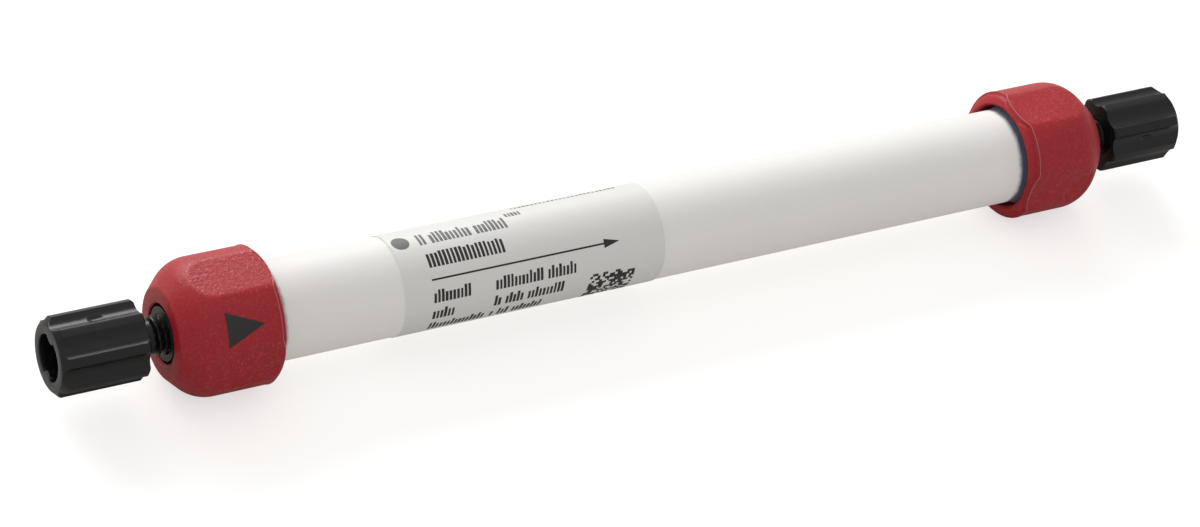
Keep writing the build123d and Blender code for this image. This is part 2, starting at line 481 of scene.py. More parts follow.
def shape_tree(name, *sizes, counts=()):
    """An empty Geometry Nodes tree with a geometry, named counts and sizes, and a finish going in."""
    tree = bpy.data.node_groups.new(name, "GeometryNodeTree")
    inputs = {"Geometry": "NodeSocketGeometry"}
    inputs.update(dict.fromkeys(counts, "NodeSocketInt"))
    inputs.update(dict.fromkeys(sizes, "NodeSocketFloat"))
    inputs["Finish"] = "NodeSocketMaterial"
    for label, kind in inputs.items():
        tree.interface.new_socket(label, in_out="INPUT", socket_type=kind)
    tree.interface.new_socket("Geometry", in_out="OUTPUT", socket_type="NodeSocketGeometry")
    return tree, outputs_of(tree.nodes.new("NodeGroupInput"))


def end_tree(geometry, finish):
    """Closes a Geometry Nodes tree with real geometry and its material, and gives the tree."""
    tree = geometry.tree
    real = add(tree, "GeometryNodeRealizeInstances", Geometry=geometry)
    painted = add(tree, "GeometryNodeSetMaterial", Geometry=real, Material=finish)
    plug_in(tree.nodes.new("NodeGroupOutput").inputs[0], painted)
    return tree


def run_tree(tree, mesh, name, **values):
    """Runs a tree on a mesh and gives the result as a plain mesh."""
    carrier = bpy.data.objects.new(name + "_carrier", mesh)
    bpy.context.scene.collection.objects.link(carrier)
    modifier = carrier.modifiers.new("Shape", "NODES")
    modifier.node_group = tree
    for item in tree.interface.items_tree:
        key = item.name.replace(" ", "_").lower()
        if item.in_out == "INPUT" and key in values:
            modifier[item.identifier] = values.pop(key)
    if values:
        raise KeyError(f"{tree.name} has no input for {sorted(values)}")
    depsgraph = bpy.context.evaluated_depsgraph_get()
    result = bpy.data.meshes.new_from_object(carrier.evaluated_get(depsgraph), depsgraph=depsgraph)
    result.name = name
    bpy.data.objects.remove(carrier)
    return result


def around(tree):
    """X, radius and angle from the top towards -Y of the point that a tree is working on."""
    x, y, z = split(add(tree, "GeometryNodeInputPosition"))
    return x, calc("SQRT", y * y + z * z), calc("ARCTAN2", -y, z)


def moved_to(geometry, x, radius, angle):
    """The geometry with each point taken to that x, radius and angle."""
    y = -(radius * calc("SINE", angle))
    z = radius * calc("COSINE", angle)
    place = add(geometry.tree, "ShaderNodeCombineXYZ", X=x, Y=y, Z=z)
    return add(geometry.tree, "GeometryNodeSetPosition", Geometry=geometry, Position=place)


def named_value(tree, name):
    """A float attribute of the mesh."""
    return add(tree, "GeometryNodeInputNamedAttribute", {"data_type": "FLOAT"}, Name=name)


def random_value(seed, low=0.0, high=1.0):
    """A number between low and high, drawn for each point from the seed."""
    node = seed.tree.nodes.new("FunctionNodeRandomValue")
    node.data_type = "FLOAT"
    plug_in(node.inputs["Seed"], seed)
    limits = [socket for socket in node.inputs if socket.type == "VALUE"]
    for socket, limit in zip(limits, (low, high)):
        plug_in(socket, limit)
    return Value(next(socket for socket in node.outputs if socket.type == "VALUE"))


def flatted_radius(radius, angle, height, softness):
    """Radius cut back by four flats at that height from the axis."""
    quarter = math.pi / 4
    nearest = calc("WRAP", angle, quarter, -quarter)
    return calc("SMOOTH_MIN", radius, height / calc("COSINE", nearest), softness)


LIP_SIZES = ("Cap radius", "Flat height", "Softness", "Lip radius", "Lip centre depth", "Lip centre radius")


def parting_line(given, angle):
    """Radius of a cap's side at that angle, and the depth at which the lip meets it."""
    side = flatted_radius(given["Cap radius"], angle, given["Flat height"], given["Softness"])
    rise = side - given["Lip centre radius"]
    reach = calc("SQRT", given["Lip radius"] ** 2.0 - rise ** 2.0)
    return side, given["Lip centre depth"] + reach


def cap_tree():
    """Cuts four soft-edged flats into a turned cap, and a groove along its parting line."""
    tree, given = shape_tree("Cap flats", *LIP_SIZES, "Groove depth", "Groove width")
    x, radius, angle = around(tree)
    cut = flatted_radius(radius, angle, given["Flat height"], given["Softness"])
    _, line = parting_line(given, angle)
    along = (x - line) / given["Groove width"]
    hollow = 1.0 - (along * 2.0 - 1.0) ** 2.0
    groove = calc("MAXIMUM", hollow, 0.0) * given["Groove depth"] * named_value(tree, "outside")
    return end_tree(moved_to(given["Geometry"], x, cut - groove, angle), given["Finish"])


def parting_tree():
    """A fine bead that follows the line where the lip of a cap meets its side."""
    tree, given = shape_tree("Cap parting line", *LIP_SIZES, "Bead radius")
    circle = add(tree, "GeometryNodeCurvePrimitiveCircle", Resolution=480, Radius=1.0)
    angle = add(tree, "GeometryNodeSplineParameter", out="Factor") * (2 * math.pi)
    side, depth = parting_line(given, angle)
    path = moved_to(circle, depth, side, angle)
    section = add(tree, "GeometryNodeCurvePrimitiveCircle", Resolution=8, Radius=given["Bead radius"])
    bead = add(tree, "GeometryNodeCurveToMesh", Curve=path, Profile_Curve=section)
    return end_tree(bead, given["Finish"])


def scallop(angle, count, circle_radius, circle_centre, start):
    """Radius of the near side of a ring of round hollows, and far off between them."""
    half = 2 * math.pi / count * 0.5
    nearest = calc("WRAP", angle - start, half, -half)
    across = circle_centre * calc("SINE", nearest)
    along = circle_centre * calc("COSINE", nearest)
    inside = circle_radius ** 2.0 - across ** 2.0
    near = along - calc("SQRT", calc("MAXIMUM", inside, 0.0))
    return near + calc("LESS_THAN", inside, 0.0)


def gate_mark(given, x, angle, radius):
    """Change of radius at the oval mark that the moulding gate left: a dish in a fine raised rim."""
    along = (x - given["Gate x"]) / given["Gate size"]
    swing = calc("WRAP", angle - given["Gate turn"], math.pi, -math.pi)
    across = swing * radius / (given["Gate size"] * GATE_ROUNDNESS)
    reach = calc("SQRT", along ** 2.0 + across ** 2.0)
    dish = calc("MAXIMUM", 1.0 - reach ** 2.0, 0.0)
    rim = calc("MAXIMUM", 1.0 - abs(reach - GATE_RIM_PLACE) * GATE_RIM_STEEPNESS, 0.0)
    return rim * GATE_RIM_HEIGHT - dish * GATE_DEPTH


def thread_ridge(given, x, angle):
    """Share of the thread's height at a point: a right-hand ridge with flat crests."""
    turns = x / given["Pitch"] - angle / (2 * math.pi)
    slope = 1.0 - abs(calc("FRACT", turns) * 2.0 - 1.0)
    return calc("MINIMUM", slope * (given["Crest share"] + 1.0), 1.0)


def plug_tree():
    """Cuts the flutes, socket lugs and gate mark of a stop plug and raises its screw thread."""
    tree, given = shape_tree(
        "Stop plug", "Flute radius", "Flute centre", "Lug radius", "Lug centre", "Turn", "Lug turn",
        "Softness", "Gate x", "Gate turn", "Gate size", "Pitch", "Thread height", "Crest share",
        counts=["Flutes"])
    x, radius, angle = around(tree)
    turned = angle - given["Turn"]

    half_step = math.pi / given["Flutes"]
    flute = scallop(turned, given["Flutes"], given["Flute radius"], given["Flute centre"], half_step)
    fluted = calc("SMOOTH_MIN", radius, flute, given["Softness"])
    grip = (fluted - radius + gate_mark(given, x, turned, fluted)) * named_value(tree, "grip")

    lug = scallop(turned, SOCKET_LUGS, given["Lug radius"], given["Lug centre"], given["Lug turn"])
    lugged = calc("SMOOTH_MIN", radius, lug, given["Softness"])
    socket = (lugged - radius) * named_value(tree, "socket")

    thread = thread_ridge(given, x, turned) * given["Thread height"] * named_value(tree, "thread")

    final = (radius + grip) + (socket + thread)
    return end_tree(moved_to(given["Geometry"], x, final, angle), given["Finish"])


def print_tree():
    """A printed row: blocks of uneven width and height, wrapped on the label."""
    tree, given = shape_tree(
        "Printed row", "Length", "Height", "Weight", "Low share", "Missing", "Start x", "Start around",
        "Wrap radius", "Ink", counts=["Count", "Rows", "Seed"])
    cell_x = given["Length"] / given["Count"]
    cell_y = given["Height"] / given["Rows"]
    grid = add(tree, "GeometryNodeMeshGrid", Vertices_X=given["Count"], Vertices_Y=given["Rows"],
               Size_X=given["Length"] - cell_x, Size_Y=given["Height"] - cell_y)
    points = add(tree, "GeometryNodeMeshToPoints", Mesh=grid)
    dropped = calc("LESS_THAN", random_value(given["Seed"]), given["Missing"])
    kept = add(tree, "GeometryNodeDeleteGeometry", Geometry=points, Selection=dropped)

    # Widths and heights are drawn from seeds of their own.
    width = random_value(given["Seed"] + 7.0, NARROWEST_CHARACTER, 1.0)
    tall = calc("GREATER_THAN", random_value(given["Seed"] + 13.0), 0.5)
    lower = (1.0 - given["Low share"]) * (1.0 - tall)
    size_x = cell_x * (given["Weight"] * width)
    size_y = cell_y * (1.0 - lower)
    size = add(tree, "ShaderNodeCombineXYZ", X=size_x, Y=size_y, Z=given["Ink"])
    sunk = add(tree, "ShaderNodeCombineXYZ", Y=cell_y * lower * -0.5)
    footed = add(tree, "GeometryNodeSetPosition", Geometry=kept, Offset=sunk)
    # A block is divided along its height, so that it bends with the label.
    block = add(tree, "GeometryNodeMeshCube", Vertices_X=2, Vertices_Y=5, Vertices_Z=2)
    placed = add(tree, "GeometryNodeInstanceOnPoints", Points=footed, Instance=block, Scale=size)
    real = add(tree, "GeometryNodeRealizeInstances", Geometry=placed)

    along, up, level = split(add(tree, "GeometryNodeInputPosition"))
    x = given["Start x"] + (along + given["Length"] * 0.5)
    down = given["Height"] * 0.5 - up
    angle = (given["Start around"] + down) / given["Wrap radius"]
    return end_tree(moved_to(real, x, given["Wrap radius"] + level, angle), given["Finish"])


# --- finishes -----------------------------------------------------------------------------

def effect_group(name, inputs, outputs):
    """An empty shader group: a place and named numbers {name: default} in, named numbers out."""
    tree = bpy.data.node_groups.new(name, "ShaderNodeTree")
    tree.interface.new_socket("Place", in_out="INPUT", socket_type="NodeSocketVector")
    for label, value in inputs.items():
        socket = tree.interface.new_socket(label, in_out="INPUT", socket_type="NodeSocketFloat")
        socket.default_value = value
    for label in outputs:
        tree.interface.new_socket(label, in_out="OUTPUT", socket_type="NodeSocketFloat")
    return outputs_of(tree.nodes.new("NodeGroupInput")), tree.nodes.new("NodeGroupOutput").inputs


def noise(place, scale, detail=2.0, roughness=0.5):
    """Noise from 0 to 1 at that many lumps to the metre."""
    return add(place.tree, "ShaderNodeTexNoise", Vector=place, Scale=scale, Detail=detail,
               Roughness=roughness)


def stretch(value, low, high):
    """The value taken from low..high to 0..1, and held there."""
    return add(value.tree, "ShaderNodeMapRange", Value=value, From_Min=low, From_Max=high)


def grain_group():
    """Spark-eroded mould grain: a height, and specks that catch the light."""
    given, out = effect_group("Moulded grain", {"Scale": 4000.0}, ["Height", "Specks"])
    place = given["Place"]
    coarse = noise(place, given["Scale"], detail=3.0, roughness=0.6)
    pits = add(place.tree, "ShaderNodeTexVoronoi", Vector=place, Scale=given["Scale"] * 0.8)
    plug_in(out["Height"], coarse * 0.7 + pits * 0.3)
    plug_in(out["Specks"], stretch(coarse, 0.55, 0.72))


def scuff_group():
    """Fine rubbed streaks, mostly round the part, in patches."""
    given, out = effect_group("Light scuffs", {"Scale": 900.0, "Amount": 0.5}, ["Mask"])
    place = given["Place"]
    squeezed = add(place.tree, "ShaderNodeMapping", Vector=place, Scale=(3.0, 0.35, 0.35))
    streaks = noise(squeezed, given["Scale"], detail=4.0, roughness=0.7)
    patches = noise(place, given["Scale"] * 0.15)
    mask = stretch(streaks, 0.55, 0.75) * stretch(patches, 0.45, 0.65)
    plug_in(out["Mask"], mask * given["Amount"])


def cloud_group():
    """Slow, soft changes of tone in a moulded plastic, round 0.5."""
    given, out = effect_group("Cloudy plastic", {"Scale": 120.0}, ["Tone"])
    slow = noise(given["Place"], given["Scale"], detail=3.0)
    quick = noise(given["Place"], given["Scale"] * 9.0)
    plug_in(out["Tone"], slow * 0.75 + quick * 0.25)


EFFECTS = {"Moulded grain": grain_group, "Light scuffs": scuff_group, "Cloudy plastic": cloud_group}


def effect(name, place, **numbers):
    """Puts an effect group in the material that the place belongs to, and gives its outputs."""
    if name not in bpy.data.node_groups:
        EFFECTS[name]()
    node = place.tree.nodes.new("ShaderNodeGroup")
    node.node_tree = bpy.data.node_groups[name]
    for key, value in {"Place": place, **numbers}.items():
        plug_in(node.inputs[key], value)
    return outputs_of(node)


def new_finish(name):
    """A material, the inputs of its Principled shader and the object's own coordinates."""
    material = bpy.data.materials.new(name)
    material.use_nodes = True
    tree = material.node_tree
    surface = tree.nodes["Principled BSDF"].inputs
    return material, surface, add(tree, "ShaderNodeTexCoord", out="Object")


def dress(surface, **inputs):
    """Sets or links inputs of a shader, named with _ for a space."""
    for key, value in inputs.items():
        plug_in(surface[key.replace("_", " ")], value)


def blend_colours(share, first, second):
    """The colour between two, by share."""
    node = share.tree.nodes.new("ShaderNodeMix")
    node.data_type = "RGBA"
    plug_in(node.inputs["Factor"], share)
    ends = [socket for socket in node.inputs if socket.type == "RGBA"]
    for socket, colour in zip(ends, (first, second)):
        plug_in(socket, colour if isinstance(colour, Value) else (*colour, 1.0))
    return Value(next(socket for socket in node.outputs if socket.type == "RGBA"))


def shade(colour, factor):
    """The colour made darker or lighter."""
    return tuple(min(1.0, channel * factor) for channel in colour)


def clouded(place, scale, colour, dark, light):
    """The colour with soft changes of tone between a darker and a lighter shade of it."""
    tone = effect("Cloudy plastic", place, Scale=scale)["Tone"]
    return blend_colours(tone, shade(colour, dark), shade(colour, light))


def add_bump(surface, height, distance):
    """Gives the shader a bump of that height in metres."""
    bump = add(height.tree, "ShaderNodeBump", Height=height, Distance=distance, Strength=1.0)
    plug_in(surface["Normal"], bump)


def add_grain(surface, place, scale, depth):
    """Gives the shader the moulded grain as a bump of that depth."""
    add_bump(surface, effect("Moulded grain", place, Scale=scale)["Height"], depth)


def tube_finish(colour):
    """Milky polypropylene, painted dark at the ends where the black end fittings show through the wall, which
    also serves as painted shade at the cap rims, and given a faint painted glow.
    """
    material, surface, place = new_finish("Milky polypropylene")
    x, _, _ = split(place)
    # Painted shade: the mask inner darkens the tube close to each end. It stands for the black end fitting
    # seen through the wall and for the shade at the cap rims. mottle roughens its edge.
    mottle = (noise(place, 900.0) - 0.5) * (0.5 * MM)
    inner = stretch(abs(x) + mottle, PLUNGER_FACE + 0.15 * MM, PLUNGER_FACE + 0.85 * MM)
    plunger_shade_colour = (0.06, 0.07, 0.10)
    scuffs = effect("Light scuffs", place, Scale=700.0, Amount=0.6)["Mask"]
    dress(surface,
          Base_Color=blend_colours(inner, clouded(place, 70.0, colour, 0.95, 1.04), plunger_shade_colour),
          # Painted light: a faint warm glow stands in for light passing through the milky wall. It turns dark
          # along with the painted shade at the ends.
          Emission_Color=blend_colours(inner, (0.90, 0.85, 0.79), plunger_shade_colour),
          Emission_Strength=0.22,
          Roughness=scuffs * 0.15 + 0.42,
          Subsurface_Weight=1.0,
          Subsurface_Radius=(1.0, 0.92, 0.84),
          Subsurface_Scale=1.5 * MM,
          Specular_IOR_Level=0.2,
          Sheen_Weight=0.35,
          Sheen_Roughness=0.6,
          Sheen_Tint=(1.0, 0.95, 0.88, 1.0))
    add_grain(surface, place, 2500.0, 0.004 * MM)
    return material


def cap_finish(name, colour):
    """Red polypropylene, grained more coarsely on the flats, with pale specks painted into its colour as
    glints of the grain, more of them on the flats.
    """
    material, surface, place = new_finish(name)
    _, y, z = split(place)
    flat = stretch(calc("MAXIMUM", abs(y), abs(z)), CAP_FLAT - 0.25 * MM, CAP_FLAT)
    coarse = effect("Moulded grain", place, Scale=2700.0)
    fine = effect("Moulded grain", place, Scale=7500.0)
    # Painted highlight: pale pink specks mixed into the colour stand in for the glints of the grain, and are
    # stronger on the flats.
    painted_glints = coarse["Specks"] * (flat * 0.10 + 0.12)
    dress(surface,
          Base_Color=blend_colours(painted_glints, clouded(place, 150.0, colour, 0.88, 1.12), (0.8, 0.35, 0.38)),
          Roughness=0.42 - coarse["Specks"] * 0.28,
          Specular_IOR_Level=0.38,
          Subsurface_Weight=0.25,
          Subsurface_Radius=(1.0, 0.12, 0.12),
          Subsurface_Scale=1.5 * MM)
    rough = coarse["Height"] * (flat * 0.6 + 0.4)
    add_bump(surface, rough + fine["Height"] * 0.4, 0.08 * MM)
    return material


def dark_finish(name, colour, roughness, scale, depth):
    """A black moulded plastic with grain and light rubbed streaks."""
    material, surface, place = new_finish(name)
    scuffs = effect("Light scuffs", place, Scale=1200.0, Amount=0.5)["Mask"]
    dress(surface,
          Base_Color=blend_colours(scuffs, clouded(place, 200.0, colour, 0.8, 1.2), shade(colour, 3.0)),
          Roughness=scuffs * 0.25 + roughness,
          Specular_IOR_Level=0.42)
    add_grain(surface, place, scale, depth)
    return material


def film_finish(colour):
    """Satin silver-grey label film with a slight orange-peel and a faint painted glow."""
    material, surface, place = new_finish("Silver-grey film")
    film = clouded(place, 90.0, colour, 0.97, 1.03)
    scuffs = effect("Light scuffs", place, Scale=800.0, Amount=0.5)["Mask"]
    dress(surface,
          Base_Color=film,
          # Painted light: the film glows faintly in its own colour, standing in for light coming through from
          # the milky tube.
          Emission_Color=film,
          Emission_Strength=0.16,
          Roughness=scuffs * 0.12 + 0.38,
          Specular_IOR_Level=0.35)
    add_grain(surface, place, 5000.0, 0.002 * MM)
    return material


def ink_finish(name, colour):
    """Printed ink, uneven where it lies thin on the film."""
    material, surface, place = new_finish(name)
    dress(surface, Base_Color=clouded(place, 1500.0, colour, 0.8, 1.3), Roughness=0.45)
    add_grain(surface, place, 9000.0, 0.002 * MM)
    return material


def grainy_finish(name, colour, roughness, scale, depth):
    """A packed, porous or rubbery solid with a close grain."""
    material, surface, place = new_finish(name)
    grain = effect("Moulded grain", place, Scale=scale)
    dress(surface,
          Base_Color=blend_colours(grain["Specks"], shade(colour, 0.85), shade(colour, 1.08)),
          Roughness=roughness)
    add_bump(surface, grain["Height"], depth)
    return material


# --- operators ----------------------------------------------------------------------------

class ColumnOperator(bpy.types.Operator):
    """What the operators share."""
    bl_options = {"REGISTER", "UNDO"}


class COLUMN_OT_tube(ColumnOperator):
    """Make the milky tube"""
    bl_idname = "column.tube"
    bl_label = "Make tube"

    def execute(self, context):
        size = context.scene.column_tube
        band_end = TUBE_END - BAND_INSET
        band_start = band_end - BAND_LENGTH
        side = [(band_start, size.radius), (band_start + BAND_RAMP, size.band_radius),
                (band_end, size.band_radius), (band_end, size.radius),
                (TUBE_END, size.radius), (TUBE_END, size.bore)]
        outline = [(-x, radius) for x, radius in reversed(side)] + side
        outline = rounded(outline, {1: BAND_ROUND, len(outline) - 2: BAND_ROUND}, 3)
        mesh = turned_mesh("column_tube", refined(outline, 5 * MM), 192)
        mesh.materials.append(tube_finish(size.colour))
        finish_piece(mesh, "milky_tube", COLUMN, ["column_tube"])
        return {"FINISHED"}


def cap_outline(size):
    """Half section of a cap, 1 for each point on its outside and 0 for the others, and the centre
    of the lip's arc."""
    slope = size.shoulder_angle
    shoulder_start = (size.shoulder_length - size.shoulder_radius * math.sin(slope),
                      size.radius - size.shoulder_radius * (1 - math.cos(slope)))
    shoulder_end = (size.shoulder_length, size.radius)
    face_radius = shoulder_start[1] - shoulder_start[0] * math.tan(slope)
    lip = (CAP_LENGTH - size.lip_rise, size.radius)
    rim = (CAP_LENGTH, size.bore + MOUTH_CHAMFER)
    shoulder, _ = arc_through(shoulder_start, shoulder_end, size.shoulder_radius, 20)
    dome, dome_centre = arc_through(lip, rim, size.lip_radius, 14)
    cone_start = (FACE_EDGE, face_radius + FACE_EDGE * math.tan(slope))

    # Points lie closest where the parting line and its groove run.
    outline = [(0.0, face_radius - FACE_EDGE), (0.035 * MM, face_radius - 0.01 * MM)]
    outline += refined([cone_start, shoulder_start], 0.15 * MM) + shoulder
    outline += refined([shoulder_end, (lip[0] - 0.2 * MM, size.radius)], 0.5 * MM)[1:]
    outline += refined([(lip[0] - 0.15 * MM, size.radius), lip], 0.05 * MM)
    outline += refined([lip, *dome], 0.05 * MM)[1:]
    outside = [1.0] * (len(outline) - 1) + [0.0]
    inside = refined([(CAP_LENGTH - MOUTH_CHAMFER, size.bore), (size.wall, size.bore), (size.wall, size.hole),
                      (HOLE_CHAMFER, size.hole), (0.0, size.hole + HOLE_CHAMFER)], 2 * MM)
    return outline + inside, outside + [0.0] * len(inside), dome_centre


class COLUMN_OT_caps(ColumnOperator):
    """Make the two red end caps with their parting lines"""
    bl_idname = "column.caps"
    bl_label = "Make end caps"

    def execute(self, context):
        size = context.scene.column_cap
        outline, outside, dome_centre = cap_outline(size)
        finish = cap_finish("Red polypropylene", size.colour)
        line_finish = cap_finish("Red parting line", size.line_colour)
        line = {"cap_radius": size.radius, "flat_height": CAP_FLAT, "softness": size.edge_softness,
                "lip_radius": size.lip_radius, "lip_centre_depth": dome_centre.x,
                "lip_centre_radius": dome_centre.y}
        flats, parting = cap_tree(), parting_tree()
        for end in END_TURN:
            blank = turned_mesh(end + "_cap_blank", outline, 360, {"outside": outside})
            mesh = run_tree(flats, blank, end + "_cap_shell", groove_depth=size.groove,
                            groove_width=GROOVE_WIDTH, finish=finish, **line)
            mesh.transform(end_place(end))
            finish_piece(mesh, end + "_cap_shell", COLUMN, [end + "_cap"])
            bead = run_tree(parting, bpy.data.meshes.new("blank"), end + "_cap_parting_line",
                            bead_radius=size.flash, finish=line_finish, **line)
            bead.transform(end_place(end))
            finish_piece(bead, end + "_cap_parting_line", COLUMN)
        return {"FINISHED"}


def give_finish(node, material):
    """Puts the material in every slot of a CAD node."""
    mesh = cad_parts[node].data
    if not mesh.materials:
        mesh.materials.append(material)
    for i in range(len(mesh.materials)):
        mesh.materials[i] = material


class COLUMN_OT_fittings(ColumnOperator):
    """Finish the black end fittings"""
    bl_idname = "column.fittings"
    bl_label = "Finish end fittings"

    def execute(self, context):
        colour = context.scene.column_fitting.colour
        finish = dark_finish("Black fitting", colour, 0.38, 4000.0, 0.01 * MM)
        for end in END_TURN:
            give_finish(end + "_end_fitting", finish)
        return {"FINISHED"}


class COLUMN_OT_inside(ColumnOperator):
    """Finish the packing, filters and seals inside the tube"""
    bl_idname = "column.inside"
    bl_label = "Finish inner parts"

    def execute(self, context):
        packing = grainy_finish("Packing", (0.75, 0.74, 0.70), 0.9, 6000.0, 0.03 * MM)
        disc = grainy_finish("Porous disc", (0.70, 0.70, 0.68), 0.75, 5000.0, 0.03 * MM)
        seal = grainy_finish("Seal rubber", (0.03, 0.03, 0.03), 0.6, 3000.0, 0.005 * MM)
        give_finish("packed_bed", packing)
        for end in END_TURN:
            give_finish(end + "_filter", disc)
            give_finish(end + "_seal_ring", seal)
        return {"FINISHED"}


def plug_outline(size):
    """Half section of a stop plug, and how far each point belongs to grip, socket and thread."""
    outline = []
    marks = {"grip": [], "socket": [], "thread": []}

    def draw(points, grip=0.0, socket=0.0, thread=0.0):
        outline.extend(points)
        for key, value in (("grip", grip), ("socket", socket), ("thread", thread)):
            marks[key].extend([value] * len(points))

    outer = PLUG_OUTER_DEPTH
    inner = outer + GRIP_LENGTH
    floor = outer + size.socket_depth
    chamfer_end = (outer + END_CHAMFER, size.radius)
    neck_end = inner + NECK_LENGTH
    thread_end = PLUG_TIP_DEPTH - NOSE_LENGTH

    # Open socket with a softened mouth.
    draw([(floor, 0.0)])
    draw(refined([(floor, size.socket), (outer + SOCKET_ROUND, size.socket)], 1 * MM), socket=1.0)
    draw([(outer + 0.03 * MM, size.socket + 0.03 * MM)], socket=0.6)
    draw([(outer, size.socket + SOCKET_ROUND)], socket=0.3)

    # End face, chamfer and side of the grip.
    draw([(outer, size.root - 0.14 * MM), (outer + 0.02 * MM, size.root - 0.03 * MM)])
    draw(refined([(outer + 0.08 * MM, size.root + 0.06 * MM), chamfer_end], 0.07 * MM), grip=1.0)
    draw(refined([chamfer_end, (inner - GRIP_EDGE, size.radius)], 0.18 * MM)[1:], grip=1.0)
    draw([(inner, size.radius - GRIP_EDGE)], grip=1.0)

    # Recess behind the grip, and the neck.
    draw([(inner, RECESS_RADIUS), (inner - RECESS_DEPTH, RECESS_RADIUS),
          (inner - RECESS_DEPTH, RECESS_CORE), (inner, RECESS_CORE)])
    draw([(inner, size.neck + NECK_FILLET), (inner + 0.06 * MM, size.neck + 0.06 * MM),
          (inner + NECK_FILLET, size.neck), (neck_end, size.neck)])

    # Thread and sealing nose.
    rows = math.ceil((thread_end - neck_end) / (size.pitch / THREAD_ROWS))
    for i in range(rows + 1):
        x = neck_end + (thread_end - neck_end) * i / rows
        fade = min(1.0, (x - neck_end) / THREAD_FADE, (thread_end - x) / THREAD_FADE)
        draw([(x, size.thread_root)], thread=max(0.0, fade))
    draw([(thread_end, NOSE_RADIUS), (PLUG_TIP_DEPTH, TIP_RADIUS), (PLUG_TIP_DEPTH, 0.0)])
    return outline, marks


class COLUMN_OT_plugs(ColumnOperator):
    """Make the two fluted stop plugs"""
    bl_idname = "column.plugs"
    bl_label = "Make stop plugs"

    def execute(self, context):
        size = context.scene.column_plug
        outline, marks = plug_outline(size)
        finish = dark_finish("Black plug", size.colour, 0.29, 2600.0, 0.004 * MM)
        tree = plug_tree()
        for end in END_TURN:
            blank = turned_mesh(end + "_plug_blank", outline, 240, marks)
            gate_x, gate_turn = GATE_PLACE[end]
            mesh = run_tree(
                tree, blank, end + "_plug", flutes=size.flutes, flute_radius=size.flute_radius,
                flute_centre=size.root + size.flute_radius, lug_radius=size.lug_radius,
                lug_centre=size.lug_tip + size.lug_radius, turn=PLUG_TURN[end], lug_turn=LUG_TURN,
                softness=FLUTE_SOFTNESS, gate_x=gate_x, gate_turn=gate_turn, gate_size=GATE_SIZE,
                pitch=size.pitch, thread_height=size.thread - size.thread_root,
                crest_share=CREST_SHARE, finish=finish)
            mesh.transform(end_place(end))
            finish_piece(mesh, end + "_fluted_plug", PLUG_BODY[end], [end + "_stop_plug"])
        return {"FINISHED"}


def print_block(margin, top, length, height, count, seed, rows=1, low_share=0.75, missing=0.07,
                weight=0.74):
    """Inputs of the print tree for one line or one block of generic print."""
    return {"length": length, "height": height, "count": count, "rows": rows, "seed": seed,
            "low_share": low_share, "missing": missing, "weight": weight,
            "start_x": label_low[0] + margin, "start_around": top}


def print_blocks(ink, pale):
    """Every line and block of generic print on the label: name, ink, and inputs of the print tree."""
    blocks = [
        ("print_heading_grey", pale, print_block(
            TEXT_MARGIN, HEADING_TOP, 22 * HEADING_CHARACTER, HEADING_HEIGHT, 22, seed=1)),
        ("print_heading_note", pale, print_block(
            margin=15.9 * MM, top=-2.3 * MM, length=2.2 * MM, height=0.8 * MM, count=5, seed=2,
            low_share=1.0)),
        ("print_heading_black", ink, print_block(
            TEXT_MARGIN, HEADING_TOP + HEADING_PITCH, 19 * HEADING_CHARACTER, HEADING_HEIGHT, 19, seed=3,
            low_share=0.9)),
        ("print_small_note", pale, print_block(
            margin=17.5 * MM, top=-3.8 * MM, length=14.56 * MM, height=0.4 * MM, count=26, seed=11,
            low_share=0.7)),
    ]
    seed = 4
    for row, counts in enumerate(ROW_CHARACTERS):
        top = ROW_TOP + row * ROW_PITCH
        for part, margin, count in zip(("name", "value"), (TEXT_MARGIN, VALUE_MARGIN), counts):
            line = print_block(margin, top, count * CHARACTER, ROW_HEIGHT, count, seed)
            blocks.append((f"print_row_{row + 1}_{part}", ink, line))
            seed += 1
    dots = print_block(BLOCKS_MARGIN, BLOCKS_TOP, BLOCKS_LENGTH, BLOCKS_HEIGHT, 18, seed=3, rows=15,
                       low_share=1.0, missing=0.42, weight=1.2)
    blocks.append(("print_dots", ink, dots))
    return blocks


def arrow_shape():
    """Stations of the flow arrow: a thin shaft and a long head."""
    tail = label_low[0] + TEXT_MARGIN
    tip = tail + ARROW_LENGTH
    head = tip - ARROW_HEAD
    halves = ((tail, ARROW_SHAFT), (head, ARROW_SHAFT), (head + 0.01 * MM, ARROW_SPREAD),
              (tip, 0.01 * MM))
    return [(x, ARROW_LINE - half, ARROW_LINE + half) for x, half in halves]


def spot_shape(steps=16):
    """Stations of the round spot."""
    centre = label_low[0] + SPOT_MARGIN
    spot = []
    for i in range(steps + 1):
        along = -SPOT_RADIUS * math.cos(math.pi * i / steps)
        half = SPOT_RADIUS * math.sin(math.pi * i / steps) + 0.001 * MM
        spot.append((centre + along, SPOT_LINE - half, SPOT_LINE + half))
    return spot


